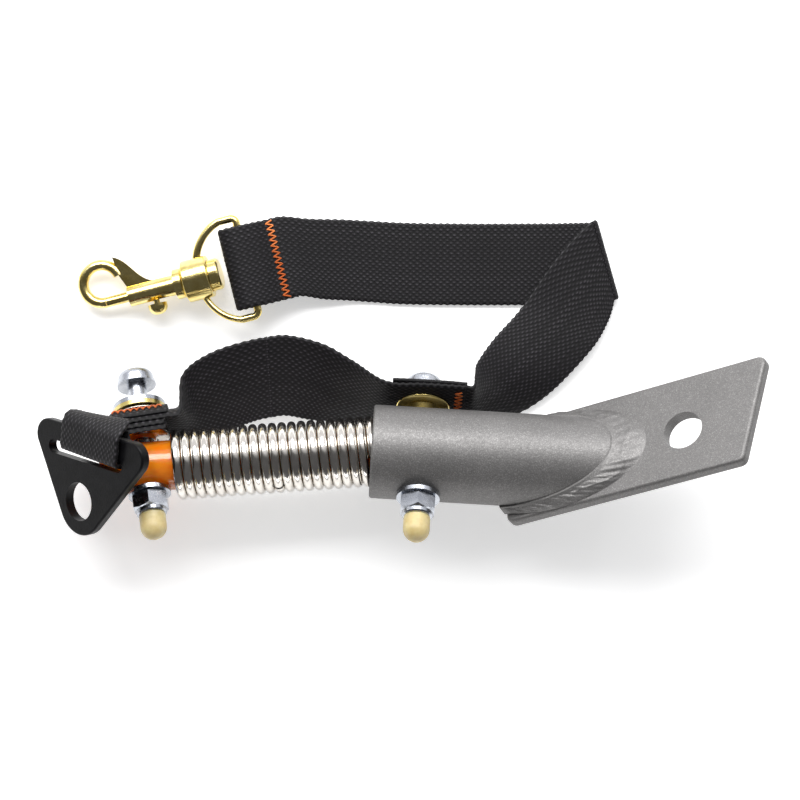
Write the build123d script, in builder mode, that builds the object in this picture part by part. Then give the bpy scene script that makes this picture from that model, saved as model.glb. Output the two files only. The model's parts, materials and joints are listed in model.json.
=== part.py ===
"""Bicycle trailer hitch arm: plate and tube, spring-covered flexible rod, safety strap and snap.

Millimetres. +Z is up, the arm lies on its side on the table at Z = 0, and its long direction is +X.
"""

import math
import os

from build123d import *

os.makedirs("parts", exist_ok=True)

# Tube and its place: the mouth is where the flexible rod leaves the tube
MOUTH = (-7.5, -22.6, 21)
TUBE_SLOPE = -3.4
TUBE_ROLL = -32.0
TUBE_OD = 28.0
TUBE_ID = 22.6
TUBE_LIP = 0.8

# Flat plate welded across the slanted end of the tube
PLATE_SLANT = 32.0
PLATE_AT = 53.9
PLATE_WIDTH = 33.5
PLATE_THICKNESS = 4.0
PLATE_LEFT = -15.5
PLATE_RIGHT_HIGH = 70.1
PLATE_RIGHT_LOW = 60.4
PLATE_SKEW = 1.9
PLATE_CORNER = 2.5
PLATE_EDGE = 1.1
AXLE_HOLE_AT = 42.6
AXLE_HOLE_D = 12.0
WELD_LEG = 4.5
WELD_SIDE_LEG = 2.4
WELD_RISE = 3.4
WELD_PLUG = 3.0

# Flexible rod, its spring and the bush that holds it in the tube
ARM_SLOPE = 3.95
ARM_ROLL = -26.0
ROD_OD = 15.0
ROD_LEFT = -80.7
ROD_RIGHT = 26.0
ROD_BEND_R = 60.0
SPRING_WIRE = 2.8
SPRING_ID = 15.6
SPRING_PITCH = 2.9
SPRING_LEFT = -57.0
SPRING_RIGHT = 2.0
BUSH_LEFT = 8.0
BUSH_RIGHT = 27.0

# M6 bolts, measured along each bolt from the rod's middle: heads at +Y, nuts at -Y
SHANK_R = 2.9
BOLT_HOLE_R = 3.1
HEAD_R = 5.5
HEAD_HEIGHT = 3.6
HEAD_FLANGE_R = 5.9
HEAD_FLANGE = 1.0
HEAD_CROWN_R = 2.2
SOCKET_FLATS = 4.0
SOCKET_DEPTH = 2.2
NUT_FLATS = 10.0
NUT_HEIGHT = 4.8
NUT_COLLAR_R = 4.6
NUT_COLLAR = 1.6
NUT_THREAD_GAP = 0.05
INSERT_R = 3.9
INSERT_INSET = 0.2
INSERT_HEIGHT = 1.3
CAP_R = 3.95
CAP_LENGTH = 7.6
CAP_WALL = 0.9
CAP_DEPTH = 4.4
CAP_GRIP = 4.0
WASHER = 1.3
SMALL_WASHER_R = 6.4
LARGE_WASHER_R = 8.0
TUBE_BOLT_AT = 14.6
TUBE_BOLT_HEAD = 22.1
TUBE_HEAD_WASHER = 20.75
TUBE_NUT_WASHER = -14.1
ARM_BOLT_AT = -67.4
ARM_BOLT_LEAN = 5.5
ARM_BOLT_HEAD = 27.2
ARM_NUT_WASHER = -8.2
ARM_WASHERS = 17.7
CAP_OVER_NUT = 0.1

# Webbing
WEB_WIDTH = 25.0
WEB = 1.5
THREAD_R = 0.3
TUBE_STRAP_LEVEL = 17.0
TUBE_PATCH_LEVEL = 18.7
ARM_LOOP_LOW = 10.3
ARM_LOOP_HIGH = 12.1
ARM_STRAP_LOW = 13.9
ARM_STRAP_HIGH = 15.7
GROMMET_R = 8.2
GROMMET_BORE = 3.2
GROMMET_BARREL_R = 4.2
GROMMET_FLANGE = 1.0
STRAP_HOLE_R = 4.4

# Triangle plate, in its own plane: X along the slot, Y away from the round hole
TRIANGLE_AT = (-89.6, -24.7, 30.2)
TRIANGLE_ALONG = (0.737, -0.226, 0.636)
TRIANGLE_FACE = (-0.667, -0.102, 0.736)
TRIANGLE_THICKNESS = 3.0
TRIANGLE_LOBES = (((-19.5, 2.9), 4.9), ((18.3, 4.7), 4.9), ((-2.5, -14.3), 9.5))
TRIANGLE_SLOT_AT = (-1.8, 0.7)
TRIANGLE_SLOT = (33.0, 4.0)
TRIANGLE_SLOT_TURN = 2.0
TRIANGLE_HOLE_AT = (-3.1, -13.7)
TRIANGLE_HOLE_D = 11.6
TRIANGLE_EDGE = 0.6

# Snap and its D-eye, in the swivel's plane: X along the swivel towards the strap
SWIVEL_AT = (-60.6, 29.6, 6.9)
SWIVEL_TURN = 14.0
SWIVEL_TILT = -5.5
EYE_WIRE_R = 1.25
EYE_BAR_AT = 15.6
EYE_HALF_WIDTH = 15.3
EYE_CORNER = 1.8
BOSS_R = 6.5
BOSS_HALF = 4.0
RIVET_R = 1.9
RIVET_HEAD_R = 4.9
COLLAR_R = 4.7
BARREL_R = 3.2
BARREL_LEFT = -21.8
BARREL_RIGHT = -7.0
BARREL_BORE_END = -6.6
HOOK_AT = (-29.2, 5.8)
HOOK_R = 5.8
HOOK_WIRE_R = 1.65
HOOK_START = 12.0
WEB_HALF = 1.3
PLUNGER_R = 1.6
PLUNGER_BORE_R = 1.75
PLUNGER_LEFT = -29.0
PLUNGER_RIGHT = -12.8
PLUNGER_TRAVEL = 3.9
STUD_AT = -14.0
STUD_STEM_R = 1.0
STUD_R = 3.0
STUD_LEVEL = -4.2
STUD_HEIGHT = 3.4
SNAP_SPRING_WIRE_R = 0.22
SNAP_SPRING_R = 1.2

# Strap run: its sewn loop slopes down from the D-eye's bar to the table
LOOP_SLOPE = 14.0
LOOP_STITCH_AT = 9.5
LOOP_STITCH_LEVEL = 2.05

# Lengths that reach right through whatever they cut, and the clearance between parts that touch
CUT = 120.0
BOLT_HOLE_REACH = 20.0
STRAP_HOLE_REACH = 24.0
CLEARANCE = 0.02

hitch = Plane(Location(MOUTH, (0, 0, TUBE_SLOPE)) * Location((0, 0, 0), (TUBE_ROLL, 0, 0)))
arm = Plane(Location(MOUTH, (0, 0, ARM_SLOPE)) * Location((0, 0, 0), (ARM_ROLL, 0, 0)))
plate_face = Plane(hitch.location * Location((PLATE_AT, 0, 0), (0, -PLATE_SLANT, 0)))
tube_bolt_frame = Plane(hitch.location * Location((TUBE_BOLT_AT, 0, 0)))
arm_bolt_frame = Plane(arm.location * Location((ARM_BOLT_AT, 0, 0), (0, 0, ARM_BOLT_LEAN)))
triangle_frame = Plane(origin=TRIANGLE_AT, x_dir=TRIANGLE_ALONG, z_dir=TRIANGLE_FACE)
swivel = Plane(Location(SWIVEL_AT, (0, 0, SWIVEL_TURN)) * Location((0, 0, 0), (0, SWIVEL_TILT, 0)))


def along_x(frame, x):
    """The plane that stands across the frame's X direction, with the frame's Z as its X."""
    return Plane(origin=frame.from_local_coords((x, 0, 0)), x_dir=frame.z_dir, z_dir=frame.x_dir)


def along_y(frame, y):
    """The plane that stands across the frame's Y direction, as a bolt's washers do."""
    return Plane(origin=frame.from_local_coords((0, y, 0)), x_dir=frame.x_dir, z_dir=frame.y_dir)


def disc(frame, level, radius, thickness, bore):
    """A washer whose lower face is at this level on the frame's Y direction."""
    with BuildPart() as ring:
        with BuildSketch(along_y(frame, level)):
            Circle(radius)
            Circle(bore, mode=Mode.SUBTRACT)
        extrude(amount=thickness)
    return ring.part


def pan_bolt(frame, head_level, tip_level):
    """An M6 bolt with a flanged pan head at head_level, its tip at tip_level, and a hexagon socket."""
    head_top = head_level + HEAD_FLANGE + HEAD_HEIGHT
    with BuildPart() as bolt:
        with BuildSketch(along_y(frame, tip_level)):
            Circle(SHANK_R)
        extrude(amount=head_level - tip_level)
        with BuildSketch(along_y(frame, head_level)):
            Circle(HEAD_FLANGE_R)
        extrude(amount=HEAD_FLANGE)
        with BuildSketch(along_y(frame, head_level + HEAD_FLANGE)):
            Circle(HEAD_R)
        extrude(amount=HEAD_HEIGHT)
        crown = bolt.faces().sort_by(Axis(frame.origin, frame.y_dir))[-1]
        fillet(crown.edges(), radius=HEAD_CROWN_R)
        with BuildSketch(along_y(frame, head_top)):
            RegularPolygon(SOCKET_FLATS / 2, 6, major_radius=False)
        extrude(amount=-SOCKET_DEPTH, mode=Mode.SUBTRACT)
    return bolt.part


def lock_nut(frame, level):
    """An M6 nut whose flat face is at this level and whose collar, on the -Y side, holds the insert."""
    with BuildPart() as nut:
        with BuildSketch(along_y(frame, level)):
            RegularPolygon(NUT_FLATS / 2, 6, major_radius=False)
        extrude(amount=-NUT_HEIGHT)
        with BuildSketch(along_y(frame, level - NUT_HEIGHT)):
            Circle(NUT_COLLAR_R)
        extrude(amount=-NUT_COLLAR)
        with BuildSketch(along_y(frame, level)):
            Circle(SHANK_R + NUT_THREAD_GAP)
        extrude(amount=-NUT_HEIGHT - NUT_COLLAR, mode=Mode.SUBTRACT)
        with BuildSketch(along_y(frame, level - NUT_HEIGHT)):
            Circle(INSERT_R)
        extrude(amount=-NUT_COLLAR, mode=Mode.SUBTRACT)
    return nut.part


def thread_cap(frame, level):
    """A soft dome pushed over the bolt's end, hollow, with its open face at this level."""
    with BuildPart() as cap:
        with BuildSketch(along_y(frame, level)):
            Circle(CAP_R)
        extrude(amount=-CAP_LENGTH)
        dome = cap.faces().sort_by(Axis(frame.origin, frame.y_dir))[0]
        fillet(dome.edges(), radius=CAP_R - 0.1)
        with BuildSketch(along_y(frame, level)):
            Circle(CAP_R - CAP_WALL)
        extrude(amount=-CAP_DEPTH, mode=Mode.SUBTRACT)
    return cap.part


def ribbon(route, across, thickness=WEB, width=WEB_WIDTH):
    """Webbing through the points of a route; across holds its width direction at each point."""
    points = [Vector(*p) for p in route]
    with BuildPart() as band:
        for i, point in enumerate(points):
            way = points[min(i + 1, len(points) - 1)] - points[max(i - 1, 0)]
            side = Vector(*across[i]).normalized()
            with BuildSketch(Plane(origin=point, x_dir=side, z_dir=way - side * way.dot(side))):
                Rectangle(width, thickness)
        loft(ruled=True)
    return band.part


# Hitch: tube, plate and weld
plate_left_end = hitch.to_local_coords(plate_face.from_local_coords((PLATE_LEFT, 0, 0)))
with BuildPart() as hitch_tube:
    with BuildSketch(along_x(hitch, 0)):
        Circle(TUBE_OD / 2)
        Circle(TUBE_ID / 2, mode=Mode.SUBTRACT)
    extrude(amount=CUT)
    fillet(hitch_tube.faces().sort_by(Axis(hitch.origin, hitch.x_dir))[0].edges(), radius=TUBE_LIP)
    with Locations(plate_face.location * Location((PLATE_LEFT, 0, 0))):
        Box(CUT, CUT, CUT, align=(Align.MIN, Align.CENTER, Align.MAX), mode=Mode.SUBTRACT)
    with Locations(hitch.location * Location(plate_left_end)):
        Box(CUT, CUT, CUT, align=(Align.MIN, Align.CENTER, Align.MAX), mode=Mode.SUBTRACT)
    with BuildSketch(along_y(tube_bolt_frame, -BOLT_HOLE_REACH)):
        Circle(BOLT_HOLE_R)
    extrude(amount=2 * BOLT_HOLE_REACH, mode=Mode.SUBTRACT)
hitch_tube.part.label = "hitch_tube"
export_step(hitch_tube.part, "parts/hitch_tube.step")

with BuildPart() as hitch_plate:
    with BuildSketch(Plane(plate_face.location * Location((0, 0, 0), (0, 0, PLATE_SKEW)))) as outline:
        with BuildLine():
            Polyline(
                (PLATE_LEFT, -PLATE_WIDTH / 2),
                (PLATE_RIGHT_LOW, -PLATE_WIDTH / 2),
                (PLATE_RIGHT_HIGH, PLATE_WIDTH / 2),
                (PLATE_LEFT, PLATE_WIDTH / 2),
                close=True,
            )
        make_face()
        fillet(outline.vertices(), radius=PLATE_CORNER)
    extrude(amount=-PLATE_THICKNESS)
    rims = hitch_plate.faces().filter_by(Axis(plate_face.origin, plate_face.z_dir))
    fillet(rims.edges(), radius=PLATE_EDGE)
    with BuildSketch(plate_face):
        with Locations((AXLE_HOLE_AT, 0)):
            Circle(AXLE_HOLE_D / 2)
    extrude(amount=-PLATE_THICKNESS, mode=Mode.SUBTRACT)
hitch_plate.part.label = "hitch_plate"
export_step(hitch_plate.part, "parts/hitch_plate.step")

# The weld is a sloping collar round the tube's slanted foot, and a plug under the plate's left end
weld_shift = -WELD_RISE / math.tan(math.radians(PLATE_SLANT))
weld_long = TUBE_OD / 2 / math.sin(math.radians(PLATE_SLANT))
with BuildPart() as weld_bead:
    with BuildSketch(plate_face):
        Ellipse(weld_long + WELD_LEG, TUBE_OD / 2 + WELD_SIDE_LEG)
    with BuildSketch(Plane(plate_face.location * Location((weld_shift, 0, WELD_RISE)))):
        Ellipse(weld_long + 0.6, TUBE_OD / 2 + 0.6)
    loft()
    with Locations(plate_face.location * Location((PLATE_LEFT, 0, 0))):
        Box(CUT, CUT, CUT, align=(Align.MAX, Align.CENTER, Align.CENTER), mode=Mode.SUBTRACT)
    with Locations(hitch.location * Location((0, 0, 0), (0, 90, 0))):
        Cylinder(TUBE_OD / 2, 2 * CUT, mode=Mode.SUBTRACT)
    with BuildSketch(along_x(hitch, plate_left_end.X - WELD_PLUG)):
        Circle(TUBE_ID / 2)
        with Locations((plate_left_end.Z, 0)):
            Rectangle(CUT, CUT, align=(Align.MIN, Align.CENTER), mode=Mode.SUBTRACT)
    extrude(amount=WELD_PLUG)
weld_bead.part.label = "weld_bead"
export_step(weld_bead.part, "parts/weld_bead.step")

with BuildPart() as anchor_bush:
    with BuildSketch(along_x(hitch, BUSH_LEFT)):
        Circle(TUBE_ID / 2 - 0.1)
        Circle(ROD_OD / 2 + 0.1, mode=Mode.SUBTRACT)
    extrude(amount=BUSH_RIGHT - BUSH_LEFT)
    with BuildSketch(along_y(tube_bolt_frame, -BOLT_HOLE_REACH)):
        Circle(BOLT_HOLE_R)
    extrude(amount=2 * BOLT_HOLE_REACH, mode=Mode.SUBTRACT)
anchor_bush.part.label = "anchor_bush"
export_step(anchor_bush.part, "parts/anchor_bush.step")

# Flexible rod: straight in the tube, a slow bend at the mouth, straight again in the spring
with BuildPart() as flex_rod:
    with BuildLine():
        rod_line = FilletPolyline(
            arm.from_local_coords((ROD_LEFT, 0, 0)),
            hitch.origin,
            hitch.from_local_coords((ROD_RIGHT, 0, 0)),
            radius=ROD_BEND_R,
        )
    with BuildSketch(along_x(arm, ROD_LEFT)):
        Circle(ROD_OD / 2)
    sweep()
    free_end = flex_rod.faces().sort_by(Axis(arm.origin, arm.x_dir))[0]
    fillet(free_end.edges(), radius=1.0)
    for bolt_frame in (tube_bolt_frame, arm_bolt_frame):
        with BuildSketch(along_y(bolt_frame, -BOLT_HOLE_REACH)):
            Circle(BOLT_HOLE_R)
        extrude(amount=2 * BOLT_HOLE_REACH, mode=Mode.SUBTRACT)
flex_rod.part.label = "flex_rod"
export_step(flex_rod.part, "parts/flex_rod.step")

with BuildPart() as coil_spring:
    with BuildLine():
        coil = Helix(
            pitch=SPRING_PITCH,
            height=SPRING_RIGHT - SPRING_LEFT - SPRING_WIRE,
            radius=(SPRING_ID + SPRING_WIRE) / 2,
            center=arm.from_local_coords((SPRING_LEFT + SPRING_WIRE / 2, 0, 0)),
            direction=arm.x_dir,
        )
    with BuildSketch(Plane(origin=coil @ 0, z_dir=coil % 0)):
        Circle(SPRING_WIRE / 2)
    sweep(is_frenet=True)
coil_spring.part.label = "coil_spring"
export_step(coil_spring.part, "parts/coil_spring.step")

# Fasteners: one set through the tube, one through the rod's free end
for place, frame, seat, washer_level in (
    ("tube", tube_bolt_frame, TUBE_BOLT_HEAD, TUBE_NUT_WASHER),
    ("arm", arm_bolt_frame, ARM_BOLT_HEAD, ARM_NUT_WASHER),
):
    nut_level = washer_level - WASHER
    cap_level = nut_level - NUT_HEIGHT - NUT_COLLAR - CAP_OVER_NUT
    with BuildPart() as bolt:
        add(pan_bolt(frame, seat, cap_level - CAP_GRIP))
    bolt.part.label = place + "_bolt"
    export_step(bolt.part, "parts/" + place + "_bolt.step")

    with BuildPart() as nut_washer:
        add(disc(frame, nut_level + CLEARANCE, SMALL_WASHER_R, WASHER - 2 * CLEARANCE, BOLT_HOLE_R))
    nut_washer.part.label = place + "_nut_washer"
    export_step(nut_washer.part, "parts/" + place + "_nut_washer.step")

    with BuildPart() as locknut:
        add(lock_nut(frame, nut_level))
    locknut.part.label = place + "_locknut"
    export_step(locknut.part, "parts/" + place + "_locknut.step")

    with BuildPart() as nut_insert:
        insert_level = nut_level - NUT_HEIGHT - NUT_COLLAR
        inner = SHANK_R + CLEARANCE
        add(disc(frame, insert_level + INSERT_INSET, INSERT_R - CLEARANCE, INSERT_HEIGHT, inner))
    nut_insert.part.label = place + "_nut_insert"
    export_step(nut_insert.part, "parts/" + place + "_nut_insert.step")

    with BuildPart() as cap:
        add(thread_cap(frame, cap_level))
    cap.part.label = place + "_thread_cap"
    export_step(cap.part, "parts/" + place + "_thread_cap.step")

with BuildPart() as tube_head_washer:
    add(disc(tube_bolt_frame, TUBE_HEAD_WASHER, SMALL_WASHER_R, WASHER, BOLT_HOLE_R))
tube_head_washer.part.label = "tube_head_washer"
export_step(tube_head_washer.part, "parts/tube_head_washer.step")

with BuildPart() as arm_yellow_washer:
    add(disc(arm_bolt_frame, ARM_WASHERS, LARGE_WASHER_R, WASHER, BOLT_HOLE_R))
arm_yellow_washer.part.label = "arm_yellow_washer"
export_step(arm_yellow_washer.part, "parts/arm_yellow_washer.step")

with BuildPart() as arm_plain_washer:
    add(disc(arm_bolt_frame, ARM_WASHERS + WASHER + 0.05, LARGE_WASHER_R, WASHER, BOLT_HOLE_R))
arm_plain_washer.part.label = "arm_plain_washer"
export_step(arm_plain_washer.part, "parts/arm_plain_washer.step")

# Grommets: a barrel with a flange on each side of the webbing
for place, frame, foot, low, high in (
    ("tube", tube_bolt_frame, TUBE_OD / 2 + 0.1, TUBE_STRAP_LEVEL, TUBE_PATCH_LEVEL),
    ("arm", arm_bolt_frame, ROD_OD / 2 + 0.6, ARM_LOOP_LOW, ARM_STRAP_HIGH),
):
    flange_low = low - WEB / 2 - 0.05 - GROMMET_FLANGE
    flange_high = high + WEB / 2 + 0.05
    with BuildPart() as grommet:
        add(disc(frame, foot, GROMMET_BARREL_R, flange_high + GROMMET_FLANGE - foot, GROMMET_BORE))
        add(disc(frame, flange_low, GROMMET_R, GROMMET_FLANGE, GROMMET_BORE))
        add(disc(frame, flange_high, GROMMET_R, GROMMET_FLANGE, GROMMET_BORE))
    grommet.part.label = place + "_grommet"
    export_step(grommet.part, "parts/" + place + "_grommet.step")


def places(frame, *points):
    """The world places of points given in a frame."""
    return [tuple(frame.from_local_coords(point)) for point in points]


def zigzag(frame, start, end, half_width, turns):
    """Thread sewn in a zigzag from start to end on a frame's XY plane."""
    steps = 2 * turns
    points = []
    for i in range(steps + 1):
        t = i / steps
        side = half_width if i % 2 else -half_width
        run = Vector(*end) - Vector(*start)
        across = Vector(-run.Y, run.X, 0).normalized() * side
        points.append(frame.from_local_coords(Vector(*start) + run * t + across))
    with BuildPart() as thread:
        for first, second in zip(points, points[1:]):
            with BuildSketch(Plane(origin=first, z_dir=second - first)):
                Circle(THREAD_R)
            extrude(amount=(second - first).length)
        for corner in points:
            with Locations(Location(corner)):
                Sphere(THREAD_R)
    return thread.part


tube_across = tuple(hitch.z_dir)
arm_across = tuple(arm.z_dir)

# Webbing from the tube's bolt, over the spring's side, to the rod's bolt, where its end is doubled
bridge_route = [
    *places(tube_bolt_frame, (12.4, TUBE_STRAP_LEVEL, 0), (0, TUBE_STRAP_LEVEL, 0)),
    *places(tube_bolt_frame, (-11.6, TUBE_STRAP_LEVEL, 0)),
    (-17.2, -4.4, 9.2),
    (-25.2, -1.6, 6.4),
    (-34.2, 0.2, 5.6),
    (-43.7, -1.3, 5.4),
    (-52.7, -4.3, 5.8),
    (-60.7, -8.6, 9.0),
    *places(arm_bolt_frame, (12.5, ARM_STRAP_LOW + 0.5, 0), (8.6, ARM_STRAP_LOW, 0)),
    *places(arm_bolt_frame, (0, ARM_STRAP_LOW, 0), (-7.9, ARM_STRAP_LOW, 0)),
]
bridge_across = [
    *[tube_across] * 3,
    (0.25, 0.75, 0.61),
    (0.15, 0.93, 0.33),
    (0.0, 0.98, 0.2),
    (-0.1, 0.97, 0.22),
    (-0.33, 0.9, 0.3),
    (-0.3, 0.78, 0.55),
    *[arm_across] * 4,
]
doubled_end = places(arm_bolt_frame, (-7.9, ARM_STRAP_HIGH, 0), (9, ARM_STRAP_HIGH, 0))
doubled_fold = places(
    arm_bolt_frame,
    (-7.2, ARM_STRAP_LOW - WEB / 2, 0),
    (-7.2, ARM_STRAP_HIGH + WEB / 2, 0),
)
with BuildPart() as strap_bridge:
    add(ribbon(bridge_route, bridge_across))
    add(ribbon(doubled_end, [arm_across] * 2))
    add(ribbon(doubled_fold, [arm_across] * 2))
    for bolt_frame in (tube_bolt_frame, arm_bolt_frame):
        with BuildSketch(along_y(bolt_frame, 0)):
            Circle(STRAP_HOLE_R)
        extrude(amount=STRAP_HOLE_REACH, mode=Mode.SUBTRACT)
strap_bridge.part.label = "strap_bridge"
export_step(strap_bridge.part, "parts/strap_bridge.step")

patch_route = places(tube_bolt_frame, (-9.5, TUBE_PATCH_LEVEL, 0), (12.4, TUBE_PATCH_LEVEL, 0))
with BuildPart() as strap_tube_patch:
    add(ribbon(patch_route, [tube_across] * 2))
    with BuildSketch(along_y(tube_bolt_frame, 0)):
        Circle(STRAP_HOLE_R)
    extrude(amount=STRAP_HOLE_REACH, mode=Mode.SUBTRACT)
strap_tube_patch.part.label = "strap_tube_patch"
export_step(strap_tube_patch.part, "parts/strap_tube_patch.step")

# Webbing looped round the triangle plate's upper bar and held by the rod's bolt
loop_front_route = [
    *places(arm_bolt_frame, (7.6, ARM_LOOP_HIGH, 0), (0, ARM_LOOP_HIGH, 0), (-9.8, ARM_LOOP_HIGH, 0)),
    (-89.3, -14.9, 22.5),
    *places(triangle_frame, (-1.2, 12.6, -3.2), (-0.4, 11.8, 0.6), (0, 9.6, 2.8)),
    *places(triangle_frame, (0, 5.5, 2.8), (-0.5, 0.3, 2.6)),
]
loop_front_across = [
    *[arm_across] * 3,
    (0.3, 0.25, 0.92),
    (0.6, -0.1, 0.8),
    *[TRIANGLE_ALONG] * 4,
]
loop_turn = places(triangle_frame, (-0.5, 1.0, 3.3), (-0.5, 1.0, -1.8))
with BuildPart() as strap_loop_front:
    add(ribbon(loop_front_route, loop_front_across))
    add(ribbon(loop_turn, [TRIANGLE_ALONG] * 2))
    with BuildSketch(along_y(arm_bolt_frame, 0)):
        Circle(STRAP_HOLE_R)
    extrude(amount=STRAP_HOLE_REACH, mode=Mode.SUBTRACT)
strap_loop_front.part.label = "strap_loop_front"
export_step(strap_loop_front.part, "parts/strap_loop_front.step")

loop_back_route = [
    *places(arm_bolt_frame, (8, ARM_LOOP_LOW, 0), (0, ARM_LOOP_LOW, 0), (-9.8, ARM_LOOP_LOW, 0)),
    (-87.4, -16.2, 22.4),
    *places(triangle_frame, (-0.8, 9.4, -3.6), (0, 5.5, -2.8), (-0.5, -0.6, -2.6)),
]
loop_back_across = [
    *[arm_across] * 3,
    (0.35, 0.2, 0.9),
    *[TRIANGLE_ALONG] * 3,
]
with BuildPart() as strap_loop_back:
    add(ribbon(loop_back_route, loop_back_across))
    with BuildSketch(along_y(arm_bolt_frame, 0)):
        Circle(STRAP_HOLE_R)
    extrude(amount=STRAP_HOLE_REACH, mode=Mode.SUBTRACT)
strap_loop_back.part.label = "strap_loop_back"
export_step(strap_loop_back.part, "parts/strap_loop_back.step")

# Webbing from the tube's bolt to the fold
tail_route = [
    *places(tube_bolt_frame, (14.6, TUBE_STRAP_LEVEL, 0)),
    (28.0, -6.5, 10.9),
    (33.3, -2.3, 8.2),
    (40.8, 5.5, 5.2),
    (49.2, 14.9, 3.7),
    (56.2, 25.5, 3.1),
    (61.4, 33.0, 2.9),
    (63.4, 35.6, 2.8),
]
tail_across = [
    tube_across,
    (-0.35, 0.55, 0.76),
    (-0.7, 0.52, 0.49),
    (-0.83, 0.54, 0.15),
    (-0.86, 0.51, 0.0),
    (-0.67, 0.74, 0.0),
    (-0.4, 0.92, 0.0),
    (-0.27, 0.96, 0.0),
]
with BuildPart() as strap_tail:
    add(ribbon(tail_route, tail_across))
strap_tail.part.label = "strap_tail"
export_step(strap_tail.part, "parts/strap_tail.step")

# Webbing from the fold to the loop sewn round the D-eye's bar
eye_bar = swivel.from_local_coords((EYE_BAR_AT, 0, 0))
loop_frame = Plane(Location(eye_bar, (0, 0, SWIVEL_TURN)) * Location((0, 0, 0), (0, LOOP_SLOPE, 0)))
loop_profile = [
    (13.5, -0.8),
    (8.4, -0.85),
    (4.2, -1.9),
    (0.0, -2.35),
    (-3.6, -1.9),
    (-5.7, 0.0),
    (-3.6, 1.9),
    (0.0, 2.35),
    (4.2, 1.9),
    (8.4, 0.85),
    (13.5, 0.8),
]
loop_across = tuple(swivel.y_dir)
run_route = [
    *places(loop_frame, *[(x, 0, z) for x, z in loop_profile]),
    (-24.7, 35.9, 3.5),
    (-16.2, 35.7, 1.7),
    (-7.2, 35.2, 0.9),
    (1.0, 34.7, 0.9),
    (19.4, 34.4, 0.9),
    (37.8, 34.4, 0.9),
    (52.8, 34.6, 0.9),
    (63.1, 35.3, 0.9),
]
run_across = [
    *[loop_across] * 11,
    (-0.18, 0.98, 0),
    (-0.1, 0.99, 0),
    (-0.04, 1, 0),
    *[(0, 1, 0)] * 3,
    (-0.1, 0.99, 0),
    (-0.27, 0.96, 0),
]
with BuildPart() as strap_run:
    add(ribbon(run_route, run_across))
strap_run.part.label = "strap_run"
export_step(strap_run.part, "parts/strap_run.step")

# Stitching
stitch_frame = Plane(loop_frame.location * Location((0, 0, LOOP_STITCH_LEVEL)))
with BuildPart() as hook_stitches:
    add(zigzag(stitch_frame, (LOOP_STITCH_AT, -12.0, 0), (LOOP_STITCH_AT, 12.0, 0), 1.1, 14))
hook_stitches.part.label = "hook_stitches"
export_step(hook_stitches.part, "parts/hook_stitches.step")

tube_stitch_frame = Plane(
    origin=tube_bolt_frame.from_local_coords((10.5, TUBE_STRAP_LEVEL - WEB / 2 - THREAD_R, 0)),
    x_dir=hitch.x_dir,
    z_dir=-hitch.y_dir,
)
with BuildPart() as tube_stitches:
    add(zigzag(tube_stitch_frame, (0, -10.0, 0), (0, 10.0, 0), 1.1, 10))
tube_stitches.part.label = "tube_stitches"
export_step(tube_stitches.part, "parts/tube_stitches.step")

arm_stitch_frame = Plane(
    origin=arm_bolt_frame.from_local_coords((0, ARM_STRAP_HIGH + WEB / 2 + THREAD_R, 10.6)),
    x_dir=arm_bolt_frame.x_dir,
    z_dir=arm_bolt_frame.y_dir,
)
with BuildPart() as arm_stitches:
    add(zigzag(arm_stitch_frame, (-7.5, 0, 0), (7.5, 0, 0), 1.1, 8))
arm_stitches.part.label = "arm_stitches"
export_step(arm_stitches.part, "parts/arm_stitches.step")

# Triangle plate
with BuildPart() as triangle_plate:
    with BuildSketch(triangle_frame):
        for place, radius in TRIANGLE_LOBES:
            with Locations(place):
                Circle(radius)
        make_hull()
    extrude(amount=TRIANGLE_THICKNESS / 2, both=True)
    rims = triangle_plate.faces().filter_by(Axis(triangle_frame.origin, triangle_frame.z_dir))
    fillet(rims.edges(), radius=TRIANGLE_EDGE)
    with BuildSketch(triangle_frame):
        with Locations(TRIANGLE_HOLE_AT):
            Circle(TRIANGLE_HOLE_D / 2)
        with Locations(Location((*TRIANGLE_SLOT_AT, 0), (0, 0, TRIANGLE_SLOT_TURN))):
            SlotOverall(*TRIANGLE_SLOT)
    extrude(amount=TRIANGLE_THICKNESS, both=True, mode=Mode.SUBTRACT)
triangle_plate.part.label = "triangle_plate"
export_step(triangle_plate.part, "parts/triangle_plate.step")

# D-eye: a bent wire and the boss that the snap turns in, cast in one
with BuildPart() as snap_d_eye:
    with BuildLine(swivel) as ring:
        start = (0.8, BOSS_R - 1.0)
        shoulder = (10.2, EYE_HALF_WIDTH)
        side = ThreePointArc(start, (4.0, 11.4), shoulder)
        corner = (EYE_BAR_AT, EYE_HALF_WIDTH)
        FilletPolyline(
            shoulder,
            corner,
            (EYE_BAR_AT, -EYE_HALF_WIDTH),
            (shoulder[0], -shoulder[1]),
            radius=EYE_CORNER,
        )
        ThreePointArc((shoulder[0], -shoulder[1]), (4.0, -11.4), (start[0], -start[1]))
    with BuildSketch(Plane(origin=side @ 0, x_dir=swivel.z_dir, z_dir=side % 0)):
        Circle(EYE_WIRE_R)
    sweep(path=ring.line)
    with BuildSketch(along_x(swivel, -BOSS_HALF)):
        Circle(BOSS_R)
    extrude(amount=2 * BOSS_HALF)
    boss_ends = snap_d_eye.faces().filter_by(Axis(swivel.origin, swivel.x_dir))
    fillet(boss_ends.edges(), radius=0.5)
    with BuildSketch(along_x(swivel, -BOSS_HALF)):
        Circle(RIVET_R + 0.06)
    extrude(amount=2 * BOSS_HALF, mode=Mode.SUBTRACT)
snap_d_eye.part.label = "snap_d_eye"
export_step(snap_d_eye.part, "parts/snap_d_eye.step")

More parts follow.
